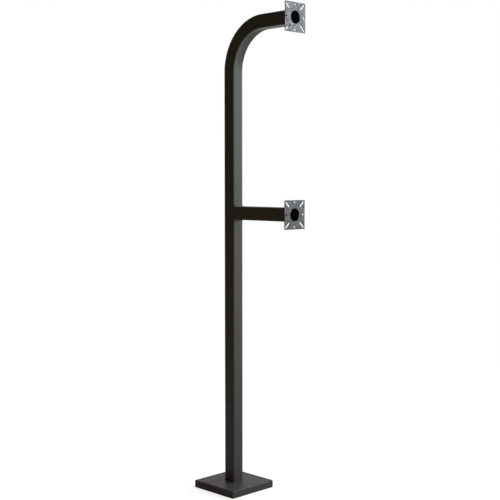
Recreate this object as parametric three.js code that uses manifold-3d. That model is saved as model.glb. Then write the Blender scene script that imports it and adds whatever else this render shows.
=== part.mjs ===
// A dual-height gooseneck pedestal for two wall-type devices, one at truck height and one at car height.
// Millimetres, +Z up. The origin is on the pad, on the post's axis. Both arms reach towards -Y and
// their face plates look that way. Every piece is a separate closed solid in its own named mesh.
import * as THREE from "three";
import { mergeVertices } from "three/addons/utils/BufferGeometryUtils.js";
import Module from "manifold-3d";

// ---- Driving dimensions ----
const UPPER_HEIGHT = 1775; // centre of the upper face plate above the pad
const LOWER_HEIGHT = 1070; // centre of the lower face plate above the pad
const REACH = 320; // post axis to the front of both face plates
const TUBE = 50.8; // outer width of the square tube
const TUBE_WALL = 3;
const TUBE_CORNER = 4.8; // outside corner radius of the tube
const BEND_RADIUS = 172; // centreline radius of the gooseneck
const ARM_CABLE_HOLE = 38; // hole through the post's wall into the lower arm

const FACE = { width: 106, thickness: 2.7, corner: 2.5, cableHole: 48 };
const SIDE_HOLE = { diameter: 8, offset: 45 }; // four, on the middle of each side
const SLOT = { width: 6.7, from: 27, to: 47.5 }; // four, on the diagonals, ends measured along X and Z

const BASE = { width: 203, thickness: 9.5, corner: 6, cableHole: 44 };
const ANCHOR = { spacing: 152.4, hole: 14.3, stud: 9.5, top: 22.9, chamfer: 0.9 };
const WASHER = { outer: 25, inner: 10.4, thickness: 1.6 };
const NUT = { acrossFlats: 14.3, height: 8.2, bore: 10.1 };

const COVER = { width: 216, height: 28, sheet: 1.9, corner: 3, clearance: 0.8 };
const WELD = { leg: 5, floor: 1 }; // leg length, and the height of the bead's straight foot

const GAP = 0.3; // left between pieces that touch
const ARC_STEPS = 3; // half the chords in each quarter arc of an outline
const HOLE_STEPS = 12; // half the chords in each round hole
const BEND_STEPS = 18; // chords along the gooseneck's quarter turn
const BEAD_STEPS = 3; // chords across the face of a weld bead
const MERGE_DISTANCE = 0.001; // corners nearer than this are one corner

// ---- Materials ----
function powderCoat() {
  return new THREE.MeshStandardMaterial({ color: 0x1b1917, roughness: 0.5, metalness: 0 });
}

function galvanised() {
  return new THREE.MeshStandardMaterial({ color: 0x8d9195, roughness: 0.45, metalness: 0.8 });
}

function zincPlated() {
  return new THREE.MeshStandardMaterial({ color: 0xb3b0a4, roughness: 0.35, metalness: 0.9 });
}

// ---- Outlines ----
function roundedSquare(width, radius, Kind = THREE.Shape) {
  const h = width / 2;
  const c = h - radius;
  const outline = new Kind();
  outline.moveTo(h, -c);
  outline.absarc(c, c, radius, 0, Math.PI / 2);
  outline.absarc(-c, c, radius, Math.PI / 2, Math.PI);
  outline.absarc(-c, -c, radius, Math.PI, 1.5 * Math.PI);
  outline.absarc(c, -c, radius, 1.5 * Math.PI, 2 * Math.PI);
  return outline;
}

function roundHole(x, y, diameter) {
  return new THREE.Path().absarc(x, y, diameter / 2, 0, 2 * Math.PI, true);
}

// A slot that runs out along a diagonal at the given angle, from one end's reach to the other's.
function diagonalSlot(angle) {
  const r = SLOT.width / 2;
  const inner = SLOT.from * Math.SQRT2 + r;
  const outer = SLOT.to * Math.SQRT2 - r;
  const along = new THREE.Vector2(Math.cos(angle), Math.sin(angle));
  const slot = new THREE.Path();
  slot.absarc(along.x * outer, along.y * outer, r, angle - Math.PI / 2, angle + Math.PI / 2);
  slot.absarc(along.x * inner, along.y * inner, r, angle + Math.PI / 2, angle + 1.5 * Math.PI);
  slot.closePath();
  return slot;
}

function tubeSection() {
  const section = roundedSquare(TUBE, TUBE_CORNER);
  const bore = roundedSquare(TUBE - 2 * TUBE_WALL, TUBE_CORNER - TUBE_WALL, THREE.Path);
  section.holes.push(bore);
  return section;
}

function extrude(shape, depth, curveSegments = ARC_STEPS) {
  return new THREE.ExtrudeGeometry(shape, { depth, bevelEnabled: false, curveSegments });
}

// ---- Cutting and joining ----
const wasm = await Module();
wasm.setup();

function solid(geometry) {
  const bare = geometry.clone();
  bare.deleteAttribute("normal");
  bare.deleteAttribute("uv");
  const merged = mergeVertices(bare, MERGE_DISTANCE);
  const vertProperties = merged.attributes.position.array;
  const triVerts = new Uint32Array(merged.index.array);
  return new wasm.Manifold(new wasm.Mesh({ numProp: 3, vertProperties, triVerts }));
}

function geometryOf(manifold) {
  const mesh = manifold.getMesh();
  const geometry = new THREE.BufferGeometry();
  geometry.setAttribute("position", new THREE.BufferAttribute(mesh.vertProperties, 3));
  geometry.setIndex(new THREE.BufferAttribute(mesh.triVerts, 1));
  geometry.computeVertexNormals();
  return geometry;
}

function box(width, depth, height, x, y, z) {
  return solid(new THREE.BoxGeometry(width, depth, height).translate(x, y, z));
}

// A square bar with the tube's outline and a gap round it, from z = low to z = high.
function tubeEnvelope(low, high) {
  const outline = roundedSquare(TUBE + 2 * GAP, TUBE_CORNER + GAP);
  return solid(extrude(outline, high - low).translate(0, 0, low));
}

// ---- The gooseneck ----
// Up the post, round a quarter turn and out along -Y. Evenly spaced parameters land on the ends of
// the two straight runs and on the chords of the turn.
class GooseneckPath extends THREE.Curve {
  station(u) {
    const step = u * (BEND_STEPS + 2);
    const bendStart = UPPER_HEIGHT - BEND_RADIUS;
    if (step < 1) {
      const foot = BASE.thickness + GAP;
      return { y: 0, z: foot + (bendStart - foot) * step, angle: 0 };
    }
    if (step > BEND_STEPS + 1) {
      const end = REACH - FACE.thickness - GAP;
      const share = step - BEND_STEPS - 1;
      return { y: -BEND_RADIUS - (end - BEND_RADIUS) * share, z: UPPER_HEIGHT, angle: Math.PI / 2 };
    }
    const angle = ((step - 1) / BEND_STEPS) * (Math.PI / 2);
    const y = BEND_RADIUS * (Math.cos(angle) - 1);
    return { y, z: bendStart + BEND_RADIUS * Math.sin(angle), angle };
  }
  getPointAt(u, target = new THREE.Vector3()) {
    const { y, z } = this.station(u);
    return target.set(0, y, z);
  }
  getTangentAt(u, target = new THREE.Vector3()) {
    const { angle } = this.station(u);
    return target.set(0, -Math.sin(angle), Math.cos(angle));
  }
}

function gooseneckTube() {
  const geometry = new THREE.ExtrudeGeometry(tubeSection(), {
    steps: BEND_STEPS + 2,
    extrudePath: new GooseneckPath(),
    curveSegments: ARC_STEPS,
  });
  const drill = new THREE.CylinderGeometry(ARM_CABLE_HOLE / 2, ARM_CABLE_HOLE / 2, TUBE / 2, 2 * HOLE_STEPS);
  drill.translate(0, -TUBE / 2, LOWER_HEIGHT);
  return geometryOf(solid(geometry).subtract(solid(drill)));
}

// ---- Face plates, base plate and cover ----
function facePlate() {
  const plate = roundedSquare(FACE.width, FACE.corner);
  plate.holes.push(roundHole(0, 0, FACE.cableHole));
  for (let quarter = 0; quarter < 4; quarter += 1) {
    const angle = (quarter * Math.PI) / 2;
    const x = SIDE_HOLE.offset * Math.cos(angle);
    const y = SIDE_HOLE.offset * Math.sin(angle);
    plate.holes.push(roundHole(x, y, SIDE_HOLE.diameter));
    plate.holes.push(diagonalSlot(angle + Math.PI / 4));
  }
  return extrude(plate, FACE.thickness, HOLE_STEPS);
}

function anchorPlaces() {
  const h = ANCHOR.spacing / 2;
  return [[-h, -h], [h, -h], [h, h], [-h, h]];
}

function basePlate() {
  const plate = roundedSquare(BASE.width, BASE.corner);
  plate.holes.push(roundHole(0, 0, BASE.cableHole));
  for (const [x, y] of anchorPlaces()) {
    plate.holes.push(roundHole(x, y, ANCHOR.hole));
  }
  return extrude(plate, BASE.thickness, HOLE_STEPS);
}

function baseCover() {
  const outer = extrude(roundedSquare(COVER.width, COVER.corner), COVER.height);
  const inside = roundedSquare(COVER.width - 2 * COVER.sheet, COVER.corner - COVER.sheet);
  const cavity = extrude(inside, COVER.height).translate(0, 0, -COVER.sheet);
  const opening = roundedSquare(TUBE + 2 * COVER.clearance, TUBE_CORNER + COVER.clearance);
  const postHole = extrude(opening, COVER.height);
  return geometryOf(solid(outer).subtract(solid(cavity)).subtract(solid(postHole)));
}

// ---- Weld beads ----
// A convex fillet bead round the tube, standing on z = 0 and narrowing upwards.
function beadSolid() {
  const pillow = new THREE.ExtrudeGeometry(roundedSquare(TUBE + 2 * GAP, TUBE_CORNER + GAP), {
    depth: 2 * WELD.floor,
    bevelThickness: WELD.leg - WELD.floor,
    bevelSize: WELD.leg,
    bevelSegments: BEAD_STEPS,
    curveSegments: ARC_STEPS,
  });
  pillow.translate(0, 0, -WELD.floor);
  const below = box(2 * TUBE, 2 * TUBE, TUBE, 0, 0, -TUBE / 2);
  return solid(pillow).subtract(below).subtract(tubeEnvelope(-TUBE, TUBE));
}

function fullBead() {
  return geometryOf(beadSolid());
}

// Where two tubes of one width meet, the bead is a fillet above and below, and fills the groove
// beside the post's rounded corners. Here z = 0 is the post's front face and +Z runs along the arm.
function flushBead() {
  const grooveDepth = TUBE_CORNER;
  const length = TUBE + 2 * WELD.leg;
  const groove = box(TUBE, length, grooveDepth + WELD.floor, 0, 0, (WELD.floor - grooveDepth) / 2);
  const post = tubeEnvelope(-length, length).rotate([90, 0, 0]).translate([0, 0, -TUBE / 2]);
  const arm = tubeEnvelope(-GAP / 2, TUBE);
  const trim = box(TUBE, length, 2 * TUBE, 0, 0, 0);
  const bead = beadSolid().translate([0, 0, GAP]).intersect(trim);
  return geometryOf(bead.add(groove).subtract(post).subtract(arm));
}

// ---- Anchors ----
function anchorStud() {
  const r = ANCHOR.stud / 2;
  const { top, chamfer } = ANCHOR;
  const profile = [[0, GAP], [r, GAP], [r, top - chamfer], [r - chamfer, top], [0, top]];
  const points = profile.map(([x, y]) => new THREE.Vector2(x, y));
  return new THREE.LatheGeometry(points, 2 * HOLE_STEPS).rotateX(Math.PI / 2);
}

function washer() {
  const disc = new THREE.Shape().absarc(0, 0, WASHER.outer / 2, 0, 2 * Math.PI);
  disc.holes.push(roundHole(0, 0, WASHER.inner));
  return extrude(disc, WASHER.thickness, HOLE_STEPS);
}

function nut() {
  const radius = NUT.acrossFlats / Math.sqrt(3);
  const corners = [0, 1, 2, 3, 4, 5].map((i) => {
    const angle = (i * Math.PI) / 3;
    return new THREE.Vector2(radius * Math.cos(angle), radius * Math.sin(angle));
  });
  const hexagon = new THREE.Shape(corners);
  hexagon.holes.push(roundHole(0, 0, NUT.bore));
  return extrude(hexagon, NUT.height, HOLE_STEPS);
}

// ---- Assembly ----
const pedestal = new THREE.Group();

function add(name, geometry, material, x, y, z, turn = 0) {
  const mesh = new THREE.Mesh(geometry, material);
  mesh.name = name;
  mesh.position.set(x, y, z);
  mesh.rotation.x = turn;
  pedestal.add(mesh);
  return mesh;
}

const FORWARD = Math.PI / 2; // turns a piece drawn up along +Z so that it runs out along -Y
const BACKWARD = -Math.PI / 2;
const facePlateBack = -(REACH - FACE.thickness);

add("base_plate", basePlate(), powderCoat(), 0, 0, 0);
add("base_cover", baseCover(), powderCoat(), 0, 0, 0);
add("gooseneck_post", gooseneckTube(), powderCoat(), 0, 0, 0);

const armBack = -(TUBE / 2 + GAP);
const armLength = armBack - facePlateBack - GAP;
add("lower_arm", extrude(tubeSection(), armLength), powderCoat(), 0, armBack, LOWER_HEIGHT, FORWARD);

for (const [level, height] of [["upper", UPPER_HEIGHT], ["lower", LOWER_HEIGHT]]) {
  add(`${level}_face_plate`, facePlate(), galvanised(), 0, facePlateBack, height, FORWARD);
  add(`${level}_plate_weld`, fullBead(), powderCoat(), 0, facePlateBack + GAP, height, BACKWARD);
}
add("post_base_weld", fullBead(), powderCoat(), 0, 0, BASE.thickness + GAP);
add("arm_post_weld", flushBead(), powderCoat(), 0, -TUBE / 2, LOWER_HEIGHT, FORWARD);

anchorPlaces().forEach(([x, y], i) => {
  const washerFoot = BASE.thickness + GAP;
  const nutFoot = washerFoot + WASHER.thickness + GAP;
  add(`anchor_stud_${i + 1}`, anchorStud(), zincPlated(), x, y, 0);
  add(`anchor_washer_${i + 1}`, washer(), zincPlated(), x, y, washerFoot);
  add(`anchor_nut_${i + 1}`, nut(), zincPlated(), x, y, nutFoot);
});

export default pedestal;
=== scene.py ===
"""The looks of the dual-height gooseneck pedestal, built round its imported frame. Metres, +Z up.

Both arms reach towards -Y. The tubes, plates, cover, welds and anchors are modelled here at their real
fineness, each in the place of its CAD node, and each finish is a procedural material.
"""
import math

import bmesh
import bpy
from mathutils import Matrix, Vector, noise


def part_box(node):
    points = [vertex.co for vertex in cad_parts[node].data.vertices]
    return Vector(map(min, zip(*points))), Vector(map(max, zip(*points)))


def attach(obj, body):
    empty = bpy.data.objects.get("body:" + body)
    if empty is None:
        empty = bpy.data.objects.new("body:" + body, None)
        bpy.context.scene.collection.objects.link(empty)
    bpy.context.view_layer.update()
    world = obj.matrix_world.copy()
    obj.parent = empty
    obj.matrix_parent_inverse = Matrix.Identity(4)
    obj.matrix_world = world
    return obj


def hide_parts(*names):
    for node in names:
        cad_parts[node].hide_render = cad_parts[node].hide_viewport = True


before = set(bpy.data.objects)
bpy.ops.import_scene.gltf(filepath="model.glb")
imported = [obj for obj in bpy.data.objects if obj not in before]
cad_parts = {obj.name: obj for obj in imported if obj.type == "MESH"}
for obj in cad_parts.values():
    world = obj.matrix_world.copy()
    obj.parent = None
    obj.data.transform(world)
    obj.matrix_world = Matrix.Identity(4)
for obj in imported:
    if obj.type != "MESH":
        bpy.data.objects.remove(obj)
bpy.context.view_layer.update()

MM = 0.001

# ---- Driving dimensions that a node's box doesn't give ----
TUBE_WALL = 3 * MM
TUBE_CORNER = 4.8 * MM  # outside corner radius of the tube
BEND_RADIUS = 172 * MM  # centreline radius of the gooseneck
BEND_DIMPLE = 0.9 * MM  # how far bending draws in the tube's inner face
BEND_BULGE = 0.35 * MM  # and how far it swells the side walls
ARM_CABLE_HOLE = 38 * MM

FACE_CORNER = 2.5 * MM
FACE_EDGE = 0.4 * MM  # rounding of a face plate's edges
FACE_CABLE_HOLE = 48 * MM
SIDE_HOLE, SIDE_HOLE_OFFSET = 8 * MM, 45 * MM
SLOT_WIDTH, SLOT_FROM, SLOT_TO = 6.7 * MM, 27 * MM, 47.5 * MM

BASE_CORNER = 6 * MM
BASE_EDGE = 0.8 * MM
BASE_CABLE_HOLE = 44 * MM
ANCHOR_HOLE = 14.3 * MM
WASHER_HOLE = 10.4 * MM
WASHER_EDGE = 0.3 * MM

COVER_SHEET = 1.9 * MM
COVER_BEND = 3 * MM  # outside radius of the cover's folded edges and corners
COVER_LEAST_CORNER = 0.4 * MM  # the smallest corner radius, where a fold runs out into the top
COVER_CLEARANCE = 0.8 * MM  # between the post and the cover's square hole

WELD_LEG = 5 * MM
WELD_CROWN = 1.3 * MM  # how far a bead's face stands proud of a flat fillet
CROWN_DRIFT, CROWN_DRIFT_LENGTH = 0.18, 9 * MM  # by what share the crown drifts, and over what length
LEG_DRIFT, LEG_DRIFT_LENGTH = 0.06, 14 * MM
CROWN_CELLS, LEG_CELLS = 40, 30  # cells of noise in a metre away from the foot, and across the tube
CROWN_SEED, LEG_SEED, NUT_SEED = 3.7, 5.1, 7.3  # each keeps to its own part of the noise
RIPPLE_PITCH = 2.1 * MM
RIPPLE_HEIGHT = 0.16 * MM
RIPPLE_BOW = 0.45  # how far a ripple's middle runs ahead of its ends, as a share of the pitch
GROOVE_WIDTH = 1.6 * MM  # how far the groove beside the post's rounded corner is filled along the arm
GROOVE_FLATNESS = 0.4  # share by which the crown is lower there
FILLET_SINK, GROOVE_SINK = 0.3 * MM, 0.25 * MM  # how deep a bead's toes go into the metal
ROOT_INSET = 0.9  # where the arm's bead has its root, as a share of the arm's half width

ANCHORS = range(1, 5)
THREAD_PITCH = 1.5875 * MM  # 16 turns to the inch
THREAD_DEPTH = 0.8 * MM
CHAMFER = 0.9 * MM
NUT_CHAMFER_ANGLE = math.radians(30)

# ---- Fineness ----
CORNER_STEPS = 6  # chords in each quarter arc of an outline
FLAT_STEPS = 10  # pieces that each flat of the tube's section is cut into
BEND_STEPS = 54
HOLE_STEPS = 48
EDGE_STEPS = 3  # chords in the rounding of a plate's edge, and rings in a nut's chamfer
BEAD_STEPS = 6  # chords across a weld bead's face
RIPPLE_STEPS = 6  # stations along each ripple
THREAD_TURN_STEPS = 24
THREAD_RISE_STEPS = 8
NUT_STEPS = 72
SHARP_ANGLE = math.radians(38)  # an edge that turns more than this isn't smoothed

# ---- Finishes ----
COAT_DARK, COAT_LIGHT = (0.024, 0.0215, 0.019, 1), (0.030, 0.027, 0.024, 1)
COAT_SPECKLE = (0.036, 0.034, 0.031, 1)
COAT_WORN_EDGE_LIGHT = (0.060, 0.056, 0.050, 1)  # rubbed edges, lighter also as a painted edge highlight
# lightens upward faces: settled dust, and also painted top light
COAT_DUST_AND_TOP_LIGHT = (0.16, 0.15, 0.135, 1)
COAT_ROUGH_SPREAD = 0.015  # how far the coat's roughness strays either way
DUST_ROUGH = 0.15  # what settled dust adds to it
SPANGLE, SPANGLE_FINE = 6.5 * MM, 2.6 * MM  # sizes of the zinc's crystals
SPANGLE_FINE_SHARE = 0.45  # of a crystal's grey; the rest comes from the larger crystal it is in
SPANGLE_WARP = (2.5 * MM, 2.5 * MM, 2.5 * MM)  # how far the crystals' straight edges are bent
SPANGLE_RELIEF, ZINC_GRAIN = 0.12 * MM, 0.03 * MM
ZINC_DARK, ZINC_BRIGHT = 0.08, 0.68  # greys of the crystals, which a plate's shade tone scales
BLOOM_GREY, BLOOM_ROUGH = 0.38, 0.15  # the bloom's grey, and what it adds to the roughness
PLATE_SHADE_TONES = {"upper": 0.475, "lower": 0.28}  # the lower plate's zinc is made darker: painted shade
PLATING_YELLOW, PLATING_WHITE = (0.52, 0.50, 0.46, 1), (0.63, 0.62, 0.60, 1)
PLATING_SPOT = (0.34, 0.33, 0.31, 1)

# ---- Stage, light and camera ----
CAMERA_PLACE = (-2.7249, -2.8480, 1.2)
CAMERA_YAW, CAMERA_PITCH = math.radians(-44.89), math.radians(3.963)
CAMERA_LENS, CAMERA_SENSOR, CAMERA_SHIFT = 74.05, 36, -0.0086

FLOOR_FADE, FLOOR_REACH = 1.2, 3.2  # where the floor starts to fade, and its edge
FLOOR_COLOUR = (0.5, 0.49, 0.47, 1)
FLOOR_ROUGHNESS = 0.9
FLOOR_GLOW = 0.72  # what the camera sees on top of the light that falls on the floor

# name, place, what it is aimed at, width, height, brightness and colour
SOFTBOXES = (
    ("front", (0.2, -3.6, 3.2), (0, 0, 1.0), 2.4, 1.8, 5.5, (0.80, 0.85, 1.0)),
    ("right_mid", (3.9, -1.6, 1.6), (0, 0, 1.2), 1.6, 1.6, 9.2, (0.79, 0.98, 1.0)),
    ("right_high", (3.9, -1.6, 2.9), (0, 0, 1.2), 1.6, 1.0, 13.2, (0.66, 0.80, 1.0)),
    ("right_low", (2.4, -0.4, 0.5), (0, -0.1, 1.5), 1.6, 0.8, 2.1, (0.88, 1.0, 0.84)),
)

WHITE = (1, 1, 1, 1)
ROOM_LEFT, ROOM_RIGHT = (0.155, 0.11, 0.072, 1), (0.80, 0.79, 0.75, 1)
ROOM_BLEND = (-0.3, 0.7)  # where the left side's light turns into the right side's, from -1 to 1


# ---- Places, from the frame ----
def centre_of(node):
    low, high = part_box(node)
    return (low + high) / 2


def size_of(node):
    low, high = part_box(node)
    return high - low


post_low, post_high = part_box("gooseneck_post")
TUBE = post_high.x - post_low.x
UPPER_HEIGHT = post_high.z - TUBE / 2
ARM_END = post_low.y
LOWER_HEIGHT = centre_of("lower_arm").z
POST_FRONT = -TUBE / 2
FORWARD, BACKWARD = math.pi / 2, -math.pi / 2  # turn what stands on z = 0 so that it points along -Y or +Y


def placed(x, y, z, turn=0.0, axis="X"):
    """A place for a piece, and its turn there."""
    return Matrix.Translation((x, y, z)) @ Matrix.Rotation(turn, 4, axis)


# ---- Outlines, as lists of (x, y) that run anticlockwise ----
def arc(x, y, radius, start, end, steps):
    angles = [start + (end - start) * i / steps for i in range(steps + 1)]
    return [(x + radius * math.cos(a), y + radius * math.sin(a)) for a in angles]


def circle(x, y, radius, steps=HOLE_STEPS):
    return arc(x, y, radius, 0, 2 * math.pi, steps)[:-1]


def rounded_square(width, radius):
    c = width / 2 - radius
    points = []
    for quarter, (sx, sy) in enumerate(((1, 1), (-1, 1), (-1, -1), (1, -1))):
        start = quarter * math.pi / 2
        points += arc(sx * c, sy * c, radius, start, start + math.pi / 2, CORNER_STEPS)
    return points


def cut_flats(points, steps):
    """The same outline with its long sides cut into steps pieces, so that they can be bent."""
    cut = []
    for (x0, y0), (x1, y1) in zip(points, points[1:] + points[:1]):
        pieces = steps if math.dist((x0, y0), (x1, y1)) > TUBE / 4 else 1
        cut += [(x0 + (x1 - x0) * i / pieces, y0 + (y1 - y0) * i / pieces) for i in range(pieces)]
    return cut


def slot_outline(angle, radius):
    """A round-ended slot that runs out along a diagonal; its ends keep their centres."""
    inner = SLOT_FROM * math.sqrt(2) + SLOT_WIDTH / 2
    outer = SLOT_TO * math.sqrt(2) - SLOT_WIDTH / 2
    ax, ay = math.cos(angle), math.sin(angle)
    half = HOLE_STEPS // 4
    far = arc(ax * outer, ay * outer, radius, angle - math.pi / 2, angle + math.pi / 2, half)
    near = arc(ax * inner, ay * inner, radius, angle + math.pi / 2, angle + 1.5 * math.pi, half)
    return far + near


def square_track(width, radius, spacing):
    """Evenly spaced (x, y, outward x, outward y, distance) stations once round a rounded square."""
    flat, bend = width - 2 * radius, radius * math.pi / 2
    side = flat + bend
    count = round(4 * side / spacing)
    stations = []
    for i in range(count):
        along = 4 * side * i / count
        quarter, s = divmod(along, side)
        turn = quarter * math.pi / 2
        if s < flat:
            x, y, angle = width / 2, s - flat / 2, 0.0
        else:
            angle = (s - flat) / radius
            x = flat / 2 + radius * math.cos(angle)
            y = flat / 2 + radius * math.sin(angle)
        c, n = math.cos(turn), math.sin(turn)
        outward_x, outward_y = math.cos(angle + turn), math.sin(angle + turn)
        stations.append((x * c - y * n, x * n + y * c, outward_x, outward_y, along))
    return stations


# ---- Meshes ----
def mesh_object(name, bm):
    """Turns a mesh into an object in the scene."""
    mesh = bpy.data.meshes.new(name)
    bm.to_mesh(mesh)
    bm.free()
    made = bpy.data.objects.new(name, mesh)
    bpy.context.scene.collection.objects.link(made)
    return made


def join_rings(bm, low, high):
    for i in range(len(low)):
        bm.faces.new((low[i - 1], low[i], high[i], high[i - 1]))


def loft(loops, closed=False):
    """A mesh through loops with the same number of points. Closed, the last loop joins the first."""
    bm = bmesh.new()
    rings = [[bm.verts.new(point) for point in loop] for loop in loops]
    pairs = list(zip(rings, rings[1:]))
    if closed:
        pairs.append((rings[-1], rings[0]))
    for low, high in pairs:
        join_rings(bm, low, high)
    if not closed:
        bm.faces.new(rings[0])
        bm.faces.new(rings[-1])
    return bm


def edge_profile(thickness, edge):
    """(inset, height) up a plate's side, with both edges rounded."""
    turn = [math.pi / 2 * i / EDGE_STEPS for i in range(EDGE_STEPS + 1)]
    low = [(edge * (1 - math.sin(a)), edge * (1 - math.cos(a))) for a in turn]
    return low + [(inset, thickness - z) for inset, z in reversed(low)]


def plate(outlines, thickness, edge):
    """A flat plate inside the first outline, with the others as holes, standing on z = 0.

    An outline is a function of how far its edge is drawn back into the metal.
    """
    bm = bmesh.new()
    below, above = [], []
    for outline in outlines:
        rings = [
            [bm.verts.new((x, y, z)) for x, y in outline(inset)]
            for inset, z in edge_profile(thickness, edge)
        ]
        for low, high in zip(rings, rings[1:]):
            join_rings(bm, low, high)
        for rim, ring in ((below, rings[0]), (above, rings[-1])):
            rim += [bm.edges.get((ring[i - 1], ring[i])) for i in range(len(ring))]
    for rim in (below, above):
        bmesh.ops.triangle_fill(bm, edges=rim, use_beauty=True)
    return bm


def square_rim(width, corner):
    return lambda inset: rounded_square(width - 2 * inset, corner - inset)


def round_rim(diameter):
    return lambda inset: circle(0, 0, diameter / 2 - inset)


def round_hole(x, y, diameter):
    return lambda inset: circle(x, y, diameter / 2 + inset)


def slot_hole(angle):
    return lambda inset: slot_outline(angle, SLOT_WIDTH / 2 + inset)


def piece(name, bm, material, node, body="pedestal", place=None):
    """Makes an object of the mesh, in the place of its CAD node."""
    bmesh.ops.recalc_face_normals(bm, faces=bm.faces)
    made = mesh_object(name, bm)
    made.data.shade_smooth()
    made.data.set_sharp_from_angle(angle=SHARP_ANGLE)
    made.data.materials.append(material)
    if place is not None:
        made.matrix_world = place
    even = made.modifiers.new("even_normals", "WEIGHTED_NORMAL")
    even.keep_sharp = True
    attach(made, body)
    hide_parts(node)
    return made


# ---- Tubes ----
def pressed(x, v, share):
    """Where bending moves a point of the tube's section. v runs from the bend's inside to its outside."""
    half = TUBE / 2
    towards_inside = max(0.0, -v / half)
    dimple = BEND_DIMPLE * share * towards_inside**2 * max(0.0, 1 - (x / half) ** 2)
    down_the_side = min(1.0, max(0.0, 0.5 - v / TUBE))
    bulge = BEND_BULGE * share * math.sin(math.pi * down_the_side) * (x / half) ** 3
    return x + bulge, v + dimple


def tube_loops(stations, section):
    loops = []
    for y, z, angle, share in stations:
        moved = [pressed(x, v, share) for x, v in section]
        loops.append([(x, y + v * math.cos(angle), z + v * math.sin(angle)) for x, v in moved])
    return loops


def hollow(stations):
    """A square tube through (y, z, angle, share of the bend's pressing) stations, open at both ends."""
    outside = cut_flats(rounded_square(TUBE, TUBE_CORNER), FLAT_STEPS)
    bore_width = TUBE - 2 * TUBE_WALL
    inside = cut_flats(rounded_square(bore_width, TUBE_CORNER - TUBE_WALL), FLAT_STEPS)
    return loft(tube_loops(stations, outside) + tube_loops(stations, inside)[::-1], closed=True)


def gooseneck_stations():
    bend_start = UPPER_HEIGHT - BEND_RADIUS
    stations = [(0, post_low.z, 0, 0)]
    for i in range(BEND_STEPS + 1):
        share = i / BEND_STEPS
        angle = share * math.pi / 2
        y = BEND_RADIUS * (math.cos(angle) - 1)
        z = bend_start + BEND_RADIUS * math.sin(angle)
        stations.append((y, z, angle, math.sin(math.pi * share) ** 0.5))
    stations.append((ARM_END, UPPER_HEIGHT, math.pi / 2, 0))
    return stations


def drill(target, radius, place, depth):
    """Cuts a round hole with a cutter that isn't kept."""
    bm = bmesh.new()
    bmesh.ops.create_cone(
        bm, segments=HOLE_STEPS, radius1=radius, radius2=radius, depth=depth, cap_ends=True, matrix=place
    )
    cutter = mesh_object("cutter", bm)
    cut = target.modifiers.new("cut", "BOOLEAN")
    cut.object = cutter
    bpy.context.view_layer.update()
    depsgraph = bpy.context.evaluated_depsgraph_get()
    drilled = bpy.data.meshes.new_from_object(target.evaluated_get(depsgraph))
    target.modifiers.remove(cut)
    target.data = drilled
    bpy.data.objects.remove(cutter)


def make_tubes(coat):
    post = piece("post_tube", hollow(gooseneck_stations()), coat, "gooseneck_post")
    drill(post, ARM_CABLE_HOLE / 2, placed(0, POST_FRONT, LOWER_HEIGHT, FORWARD), TUBE / 2)
    arm_low, arm_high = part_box("lower_arm")
    ends = [(y, LOWER_HEIGHT, math.pi / 2, 0) for y in (arm_high.y, arm_low.y)]
    piece("arm_tube", hollow(ends), coat, "lower_arm")


# ---- Plates ----
def make_face_plates():
    # Each plate's greys are scaled by its tone; the lower plate's darker tone is painted shade.
    for level, shade_tone in PLATE_SHADE_TONES.items():
        node = f"{level}_face_plate"
        size = size_of(node)
        outlines = [square_rim(size.x, FACE_CORNER), round_hole(0, 0, FACE_CABLE_HOLE)]
        for quarter in range(4):
            angle = quarter * math.pi / 2
            x, y = SIDE_HOLE_OFFSET * math.cos(angle), SIDE_HOLE_OFFSET * math.sin(angle)
            outlines.append(round_hole(x, y, SIDE_HOLE))
            outlines.append(slot_hole(angle + math.pi / 4))
        bm = plate(outlines, size.y, FACE_EDGE)
        zinc = galvanised(f"{level}_galvanised_steel", shade_tone)
        place = placed(0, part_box(node)[1].y, centre_of(node).z, FORWARD)
        piece(f"{level}_plate", bm, zinc, node, place=place)


def make_base_plate(coat):
    size = size_of("base_plate")
    outlines = [square_rim(size.x, BASE_CORNER), round_hole(0, 0, BASE_CABLE_HOLE)]
    for i in ANCHORS:
        centre = centre_of(f"anchor_stud_{i}")
        outlines.append(round_hole(centre.x, centre.y, ANCHOR_HOLE))
    piece("anchor_plate", plate(outlines, size.z, BASE_EDGE), coat, "base_plate")


# ---- The cover ----
def make_cover(coat):
    """One folded sheet. Its loops run up the outside, in to the post's hole and back underneath."""
    width, height = size_of("base_cover").x, size_of("base_cover").z
    edge = COVER_SHEET / 4
    turns = [math.pi / 2 * i / CORNER_STEPS for i in range(CORNER_STEPS + 1)]
    profile = []

    def skirt(inset, z):
        profile.append((width - 2 * inset, max(COVER_BEND - inset, COVER_LEAST_CORNER), z))

    def mouth(outset, z):
        opening = TUBE + 2 * (COVER_CLEARANCE + outset)
        profile.append((opening, TUBE_CORNER + COVER_CLEARANCE + outset, z))

    skirt(edge, 0)
    skirt(0, edge)
    for a in turns:
        skirt(COVER_BEND * (1 - math.cos(a)), height - COVER_BEND * (1 - math.sin(a)))
    mouth(edge, height)
    mouth(0, height - edge)
    mouth(0, height - COVER_SHEET + edge)
    mouth(edge, height - COVER_SHEET)
    inner_bend = COVER_BEND - COVER_SHEET
    for a in reversed(turns):
        inset = COVER_SHEET + inner_bend * (1 - math.cos(a))
        skirt(inset, height - COVER_SHEET - inner_bend * (1 - math.sin(a)))
    skirt(COVER_SHEET, edge)
    skirt(COVER_SHEET - edge, 0)
    loops = [[(x, y, z) for x, y in rounded_square(w, r)] for w, r, z in profile]
    piece("cover_sheet", loft(loops, closed=True), coat, "base_cover", body="cover")


# ---- Weld beads ----
def uneven(share, along, length, *place):
    """1, give or take a share that drifts along a bead. The rest says where in the noise it lies."""
    return 1 + share * noise.noise(Vector((along / length, *place)))


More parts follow.
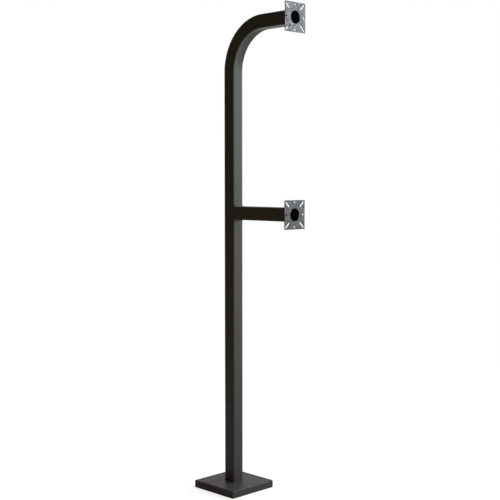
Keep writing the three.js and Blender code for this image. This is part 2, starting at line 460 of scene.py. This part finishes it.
def bead(stations):
    """A closed ring of weld through (toe, other toe, root, outward, distance along) stations."""
    loops = []
    for toe_a, toe_b, root, outward, along in stations:
        crown = WELD_CROWN * uneven(CROWN_DRIFT, along, CROWN_DRIFT_LENGTH, toe_a.z * CROWN_CELLS, CROWN_SEED)
        loop = []
        for i in range(BEAD_STEPS + 1):
            t = i / BEAD_STEPS
            rise = math.sin(math.pi * t)
            ripple = math.cos(2 * math.pi * (along / RIPPLE_PITCH + RIPPLE_BOW * rise))
            height = (crown + RIPPLE_HEIGHT * ripple) * rise
            loop.append(toe_a.lerp(toe_b, t) + outward * height)
        loops.append(loop + [root])
    return loft(loops, closed=True)


def fillet_stations():
    """A fillet round the tube, standing on z = 0."""
    up = Vector((0, 0, 1))
    stations = []
    for x, y, nx, ny, along in square_track(TUBE, TUBE_CORNER, RIPPLE_PITCH / RIPPLE_STEPS):
        foot, away = Vector((x, y, 0)), Vector((nx, ny, 0))
        leg = WELD_LEG * uneven(LEG_DRIFT, along, LEG_DRIFT_LENGTH, LEG_SEED, x * LEG_CELLS)
        toe_a = foot - away * FILLET_SINK + up * leg
        toe_b = foot + away * leg - up * FILLET_SINK / 4
        stations.append((toe_a, toe_b, foot - away * TUBE_WALL / 2, (up + away).normalized(), along))
    return stations


def arm_root_stations():
    """Round the lower arm where it meets the post, with +Z along the arm.

    Above and below the arm it is a fillet. On both sides that turns into a filled groove between the
    arm's end and the post's rounded corner, where the crown is lower.
    """
    corner = TUBE / 2 - TUBE_CORNER
    stations = []
    for x, y, nx, ny, along in square_track(TUBE, TUBE_CORNER, RIPPLE_PITCH / RIPPLE_STEPS):
        side = abs(nx)  # 0 above and below the arm, 1 at its sides
        leg = WELD_LEG + (GROOVE_WIDTH - WELD_LEG) * side
        toe_a = Vector((x - nx * GROOVE_SINK, y - ny * GROOVE_SINK, leg))
        turn = side * math.pi / 2
        reach, depth = x, 0
        if abs(x) >= corner:
            reach = math.copysign(corner + TUBE_CORNER * math.sin(turn), x)
            depth = TUBE_CORNER * (1 - math.cos(turn))
        toe_b_y = y + ny * WELD_LEG * (1 - side)
        toe_b = Vector((reach - nx * GROOVE_SINK, toe_b_y, -depth - GROOVE_SINK))
        outward = Vector((nx, ny, 1 - side)).normalized()
        root = Vector((x * ROOT_INSET, y * ROOT_INSET, -TUBE_CORNER / 2))
        stations.append((toe_a, toe_b, root, outward * (1 - GROOVE_FLATNESS * side), along))
    return stations


def make_welds(coat):
    place = placed(0, 0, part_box("base_plate")[1].z)
    piece("foot_bead", bead(fillet_stations()), coat, "post_base_weld", place=place)
    for level in PLATE_SHADE_TONES:
        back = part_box(f"{level}_face_plate")[1].y
        place = placed(0, back, centre_of(f"{level}_face_plate").z, BACKWARD)
        bm = bead(fillet_stations())
        piece(f"{level}_plate_bead", bm, coat, f"{level}_plate_weld", place=place)
    place = placed(0, POST_FRONT, LOWER_HEIGHT, FORWARD)
    piece("arm_root_bead", bead(arm_root_stations()), coat, "arm_post_weld", place=place)


# ---- Anchors ----
def stud(radius, low, high):
    """A threaded rod with chamfered ends."""
    rings = math.ceil((high - low) / THREAD_PITCH * THREAD_RISE_STEPS)
    loops = []
    for k in range(rings + 1):
        z = low + (high - low) * k / rings
        taper = max(0.0, CHAMFER - min(z - low, high - z))
        loop = []
        for i in range(THREAD_TURN_STEPS):
            turn = i / THREAD_TURN_STEPS
            flank = abs(2 * ((z / THREAD_PITCH - turn) % 1) - 1)
            r = min(radius - THREAD_DEPTH * flank, radius - taper)
            loop.append((r * math.cos(2 * math.pi * turn), r * math.sin(2 * math.pi * turn), z))
        loops.append(loop)
    return loft(loops)


def hexagon(flat, limit):
    """A hexagon's outline, cut back to a circle where a chamfer reaches it."""
    points = []
    for i in range(NUT_STEPS):
        angle = 2 * math.pi * i / NUT_STEPS
        from_flat = (angle + math.pi / 6) % (math.pi / 3) - math.pi / 6
        r = min(flat / math.cos(from_flat), limit)
        points.append((r * math.cos(angle), r * math.sin(angle)))
    return points


def nut(size, bore):
    """A hexagon nut with both faces chamfered and the bore's mouths countersunk, standing on z = 0."""
    flat, height = size.y / 2, size.z
    corner = flat / math.cos(math.pi / 6)
    cut = corner - flat
    rise = cut * math.tan(NUT_CHAMFER_ANGLE)
    heights = [rise * i / EDGE_STEPS for i in range(EDGE_STEPS + 1)]
    outer = [(z, flat + cut * z / rise) for z in heights]
    outer += [(height - z, limit) for z, limit in reversed(outer)]
    loops = [[(x, y, z) for x, y in hexagon(flat, limit)] for z, limit in outer]
    mouth = bore + CHAMFER
    for z, r in ((height, mouth), (height - CHAMFER, bore), (CHAMFER, bore), (0, mouth)):
        loops.append([(x, y, z) for x, y in circle(0, 0, r, NUT_STEPS)])
    return loft(loops, closed=True)


def make_anchors(zinc):
    for i in ANCHORS:
        node = f"anchor_stud_{i}"
        low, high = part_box(node)
        centre = (low + high) / 2
        radius = (high.x - low.x) / 2
        place = placed(centre.x, centre.y, 0)
        piece(f"stud_{i}", stud(radius, low.z, high.z), zinc, node, place=place)

        node = f"anchor_washer_{i}"
        size = size_of(node)
        outlines = [round_rim(size.x), round_hole(0, 0, WASHER_HOLE)]
        place = placed(centre.x, centre.y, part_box(node)[0].z)
        piece(f"washer_{i}", plate(outlines, size.z, WASHER_EDGE), zinc, node, place=place)

        node = f"anchor_nut_{i}"
        turn = noise.noise(Vector((i * NUT_SEED, 0, 0))) * math.pi  # each nut stopped where it was tight
        place = placed(centre.x, centre.y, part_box(node)[0].z, turn, "Z")
        piece(f"nut_{i}", nut(size_of(node), radius), zinc, node, place=place)


# ---- Materials ----
class Graph:
    """A node tree with short calls for adding and joining nodes."""

    def __init__(self, tree):
        self.tree = tree

    def node(self, kind, **settings):
        made = self.tree.nodes.new(kind)
        for key, value in settings.items():
            setattr(made, key, value)
        return made

    def feed(self, socket, value):
        """Links an output to the socket, or sets the socket to a number or colour."""
        if isinstance(value, bpy.types.NodeSocket):
            self.tree.links.new(value, socket)
        else:
            socket.default_value = value

    def place(self):
        """Coordinates that stay with the piece, in metres."""
        return self.node("ShaderNodeTexCoord").outputs["Object"]

    def noise(self, where, size, detail=3.0, rough=0.5, output="Fac"):
        made = self.node("ShaderNodeTexNoise")
        self.feed(made.inputs["Vector"], where)
        made.inputs["Scale"].default_value = 1 / size
        made.inputs["Detail"].default_value = detail
        made.inputs["Roughness"].default_value = rough
        return made.outputs[output]

    def cells(self, where, size):
        """Crystals of about that size, with a random number of their own in each colour channel."""
        made = self.node("ShaderNodeTexVoronoi")
        self.feed(made.inputs["Vector"], where)
        made.inputs["Scale"].default_value = 1 / size
        split = self.node("ShaderNodeSeparateColor")
        self.feed(split.inputs[0], made.outputs["Color"])
        return split.outputs

    def calculate(self, kind, operation, values):
        made = self.node(kind, operation=operation)
        for socket, value in zip(made.inputs, values):
            self.feed(socket, value)
        return made.outputs[0]

    def sums(self, operation, *values):
        return self.calculate("ShaderNodeMath", operation, values)

    def vectors(self, operation, *values):
        return self.calculate("ShaderNodeVectorMath", operation, values)

    def remap(self, value, span, onto=(0.0, 1.0), **settings):
        """The value with one span stretched onto another, and held at its ends."""
        made = self.node("ShaderNodeMapRange", **settings)
        made.inputs["From Min"].default_value, made.inputs["From Max"].default_value = span
        made.inputs["To Min"].default_value, made.inputs["To Max"].default_value = onto
        self.feed(made.inputs["Value"], value)
        return made.outputs["Result"]

    def mix(self, share, first, second):
        made = self.node("ShaderNodeMix", data_type="RGBA")
        self.feed(made.inputs["Factor"], share)
        self.feed(made.inputs["A"], first)
        self.feed(made.inputs["B"], second)
        return made.outputs["Result"]

    def bump(self, height, distance, strength=1.0, below=None):
        made = self.node("ShaderNodeBump")
        made.inputs["Strength"].default_value = strength
        made.inputs["Distance"].default_value = distance
        self.feed(made.inputs["Height"], height)
        if below is not None:
            self.feed(made.inputs["Normal"], below)
        return made.outputs["Normal"]

    def along(self, axis, vector):
        """One of a vector's three numbers."""
        split = self.node("ShaderNodeSeparateXYZ")
        self.feed(split.inputs[0], vector)
        return split.outputs[axis]

    def seen(self):
        """1 for what the camera sees, 0 for what the object is lit by."""
        return self.node("ShaderNodeLightPath").outputs["Is Camera Ray"]

    def edges(self):
        """0 on flats, rising to 1 on convex edges."""
        return self.remap(self.node("ShaderNodeNewGeometry").outputs["Pointiness"], (0.52, 0.62))

    def upward(self):
        """1 where the surface faces up, 0 at its sides."""
        normal = self.node("ShaderNodeNewGeometry").outputs["Normal"]
        return self.remap(self.along("Z", normal), (0.5, 1.0))


class Finish(Graph):
    """A material's node tree. shader holds the sockets of its Principled BSDF."""

    def __init__(self, name):
        self.material = bpy.data.materials.new(name)
        self.material.use_nodes = True
        super().__init__(self.material.node_tree)
        self.shader = self.tree.nodes["Principled BSDF"].inputs


def powder_coat(name, peel, grain, rough, dust_and_top_light):
    """Satin black polyester powder. peel is the depth of its orange peel, grain of its fine texture, and
    dust_and_top_light how far upward faces are lightened: settled dust, and painted top light.
    """
    g = Finish(name)
    where = g.place()
    speckle = g.remap(g.noise(where, 0.9 * MM, detail=2, rough=0.6), (0.55, 0.8), (0.0, 0.6))
    # Convex edges are lightened in patches: wear, and a painted edge highlight.
    wear_and_edge_light = g.remap(g.noise(where, 9 * MM), (0.4, 0.65), (0.1, 0.5))
    # Upward faces are lightened in patches: settled dust, and painted light on the tops (the cover's lit top,
    # and a painted highlight on the weld beads' upper faces).
    dust_and_light_patches = g.remap(g.noise(where, 35 * MM, detail=5), (0.35, 0.75), (0.2, 1.0))
    dust_and_top_light_mask = g.sums("MULTIPLY", g.upward(), dust_and_light_patches)
    black = g.mix(g.noise(where, 160 * MM, detail=1), COAT_DARK, COAT_LIGHT)
    black = g.mix(speckle, black, COAT_SPECKLE)
    black = g.mix(g.sums("MULTIPLY", g.edges(), wear_and_edge_light), black, COAT_WORN_EDGE_LIGHT)
    black = g.mix(g.sums("MULTIPLY", dust_and_top_light_mask, dust_and_top_light), black, COAT_DUST_AND_TOP_LIGHT)
    g.feed(g.shader["Base Color"], black)

    near = (rough - COAT_ROUGH_SPREAD, rough + COAT_ROUGH_SPREAD)
    spread = g.remap(g.noise(where, 90 * MM, detail=1), (0.3, 0.7), near)
    g.feed(g.shader["Roughness"], g.sums("ADD", spread, g.sums("MULTIPLY", dust_and_top_light_mask, DUST_ROUGH)))

    skin = g.bump(g.noise(where, 2.2 * MM, detail=1), peel)
    skin = g.bump(g.noise(where, 0.5 * MM, detail=2, rough=0.7), grain, below=skin)
    g.feed(g.shader["Normal"], skin)
    return g.material


def galvanised(name, shade_tone):
    """Hot-dip zinc: crystals of spangle that each catch the light their own way, under a dull bloom."""
    g = Finish(name)

    # The greys are scaled by the plate's tone, which on the lower plate is painted shade.
    def grey(level):
        return (level * shade_tone, level * shade_tone, level * shade_tone, 1)

    # The object's place is added so that the two plates differ.
    where = g.vectors("ADD", g.place(), g.node("ShaderNodeObjectInfo").outputs["Location"])
    warp = g.noise(where, 6 * MM, detail=2, output="Color")
    bent = g.vectors("MULTIPLY_ADD", warp, SPANGLE_WARP, where)
    large, small = g.cells(bent, SPANGLE), g.cells(bent, SPANGLE_FINE)
    large_share = g.sums("MULTIPLY", large["Red"], 1 - SPANGLE_FINE_SHARE)
    facet = g.sums("MULTIPLY_ADD", small["Red"], SPANGLE_FINE_SHARE, large_share)
    bloom = g.remap(g.noise(where, 22 * MM, detail=5, rough=0.6), (0.45, 0.75), (0.0, 0.45))
    zinc = g.mix(facet, grey(ZINC_DARK), grey(ZINC_BRIGHT))
    g.feed(g.shader["Base Color"], g.mix(bloom, zinc, grey(BLOOM_GREY)))
    g.feed(g.shader["Metallic"], g.remap(bloom, (0.0, 0.55), (0.42, 0.2)))
    facet_rough = g.remap(large["Green"], (0.0, 1.0), (0.5, 0.7))
    g.feed(g.shader["Roughness"], g.sums("MULTIPLY_ADD", bloom, BLOOM_ROUGH, facet_rough))

    tilt = g.bump(facet, SPANGLE_RELIEF, strength=0.6)
    tilt = g.bump(g.noise(where, 0.7 * MM), ZINC_GRAIN, below=tilt)
    g.feed(g.shader["Normal"], tilt)
    return g.material


def zinc_plate(name):
    """Bright zinc plating with faint yellow passivation and dull spots."""
    g = Finish(name)
    where = g.place()
    spots = g.remap(g.noise(where, 1.6 * MM, detail=4), (0.58, 0.75))
    colour = g.mix(g.noise(where, 8 * MM), PLATING_YELLOW, PLATING_WHITE)
    g.feed(g.shader["Base Color"], g.mix(spots, colour, PLATING_SPOT))
    g.shader["Metallic"].default_value = 0.95
    g.feed(g.shader["Roughness"], g.remap(spots, (0.0, 1.0), (0.26, 0.55)))
    g.feed(g.shader["Normal"], g.bump(g.noise(where, 0.6 * MM), 0.015 * MM))
    return g.material


# ---- Stage, light and camera ----
def make_camera():
    """From the pedestal's front left, at a height a little above the lower arm."""
    level = math.cos(CAMERA_PITCH)
    back = Vector((math.sin(CAMERA_YAW) * level, -math.cos(CAMERA_YAW) * level, math.sin(CAMERA_PITCH)))
    camera = bpy.data.objects.new("camera", bpy.data.cameras.new("camera"))
    bpy.context.scene.collection.objects.link(camera)
    camera.data.sensor_width = CAMERA_SENSOR
    camera.data.lens = CAMERA_LENS
    camera.data.shift_x = CAMERA_SHIFT
    camera.location = CAMERA_PLACE
    camera.rotation_mode = "QUATERNION"
    camera.rotation_quaternion = (-back).to_track_quat("-Z", "Y")
    bpy.context.scene.camera = camera


def make_floor():
    """A pale floor that reads as white paper, with a soft contact shadow. It ends in a wide soft edge."""
    bm = bmesh.new()
    bmesh.ops.create_grid(bm, x_segments=2, y_segments=2, size=FLOOR_REACH)
    floor = mesh_object("floor", bm)
    g = Finish("pale_floor")
    g.shader["Base Color"].default_value = FLOOR_COLOUR
    g.shader["Roughness"].default_value = FLOOR_ROUGHNESS
    g.shader["Emission Color"].default_value = WHITE
    g.feed(g.shader["Emission Strength"], g.sums("MULTIPLY", g.seen(), FLOOR_GLOW))
    away = g.node("ShaderNodeVectorMath", operation="LENGTH")
    g.feed(away.inputs[0], g.place())
    fade = g.remap(away.outputs["Value"], (FLOOR_FADE, FLOOR_REACH), (1.0, 0.0))
    g.feed(g.shader["Alpha"], fade)
    floor.data.materials.append(g.material)


def soft_light(name, location, target, width, height, level, colour):
    """A rectangular softbox of the given brightness, which the camera doesn't see."""
    lamp = bpy.data.lights.new(name, "AREA")
    lamp.shape = "RECTANGLE"
    lamp.size, lamp.size_y = width, height
    lamp.energy = math.pi * width * height * level
    lamp.color = colour
    light = bpy.data.objects.new(name, lamp)
    bpy.context.scene.collection.objects.link(light)
    light.location = location
    light.rotation_euler = (Vector(target) - Vector(location)).to_track_quat("-Z", "Y").to_euler()
    light.visible_camera = False


def make_room():
    """A white backdrop. What it gives as light is dim and warm from the left, bright from the right."""
    world = bpy.data.worlds.new("room")
    world.use_nodes = True
    bpy.context.scene.world = world
    bpy.context.scene.view_settings.view_transform = "Standard"
    g = Graph(world.node_tree)
    rightward = g.along("X", g.node("ShaderNodeTexCoord").outputs["Generated"])
    share = g.remap(rightward, ROOM_BLEND, interpolation_type="SMOOTHSTEP")
    glow = g.mix(share, ROOM_LEFT, ROOM_RIGHT)
    g.feed(g.tree.nodes["Background"].inputs["Color"], g.mix(g.seen(), glow, WHITE))


make_camera()
# The cover and the weld beads get more lightening on upward faces: painted top light on the cover, a painted
# highlight on the beads.
coat = powder_coat("powder_coat", peel=0.08 * MM, grain=0.035 * MM, rough=0.41, dust_and_top_light=0.04)
cover_coat = powder_coat("cover_coat", peel=0.09 * MM, grain=0.05 * MM, rough=0.46, dust_and_top_light=0.14)
weld_coat = powder_coat("coated_weld", peel=0.04 * MM, grain=0.012 * MM, rough=0.3, dust_and_top_light=0.1)
make_tubes(coat)
make_base_plate(coat)
make_welds(weld_coat)
make_cover(cover_coat)
make_face_plates()
make_anchors(zinc_plate("zinc_plate"))
make_floor()
for softbox in SOFTBOXES:
    soft_light(*softbox)
make_room()
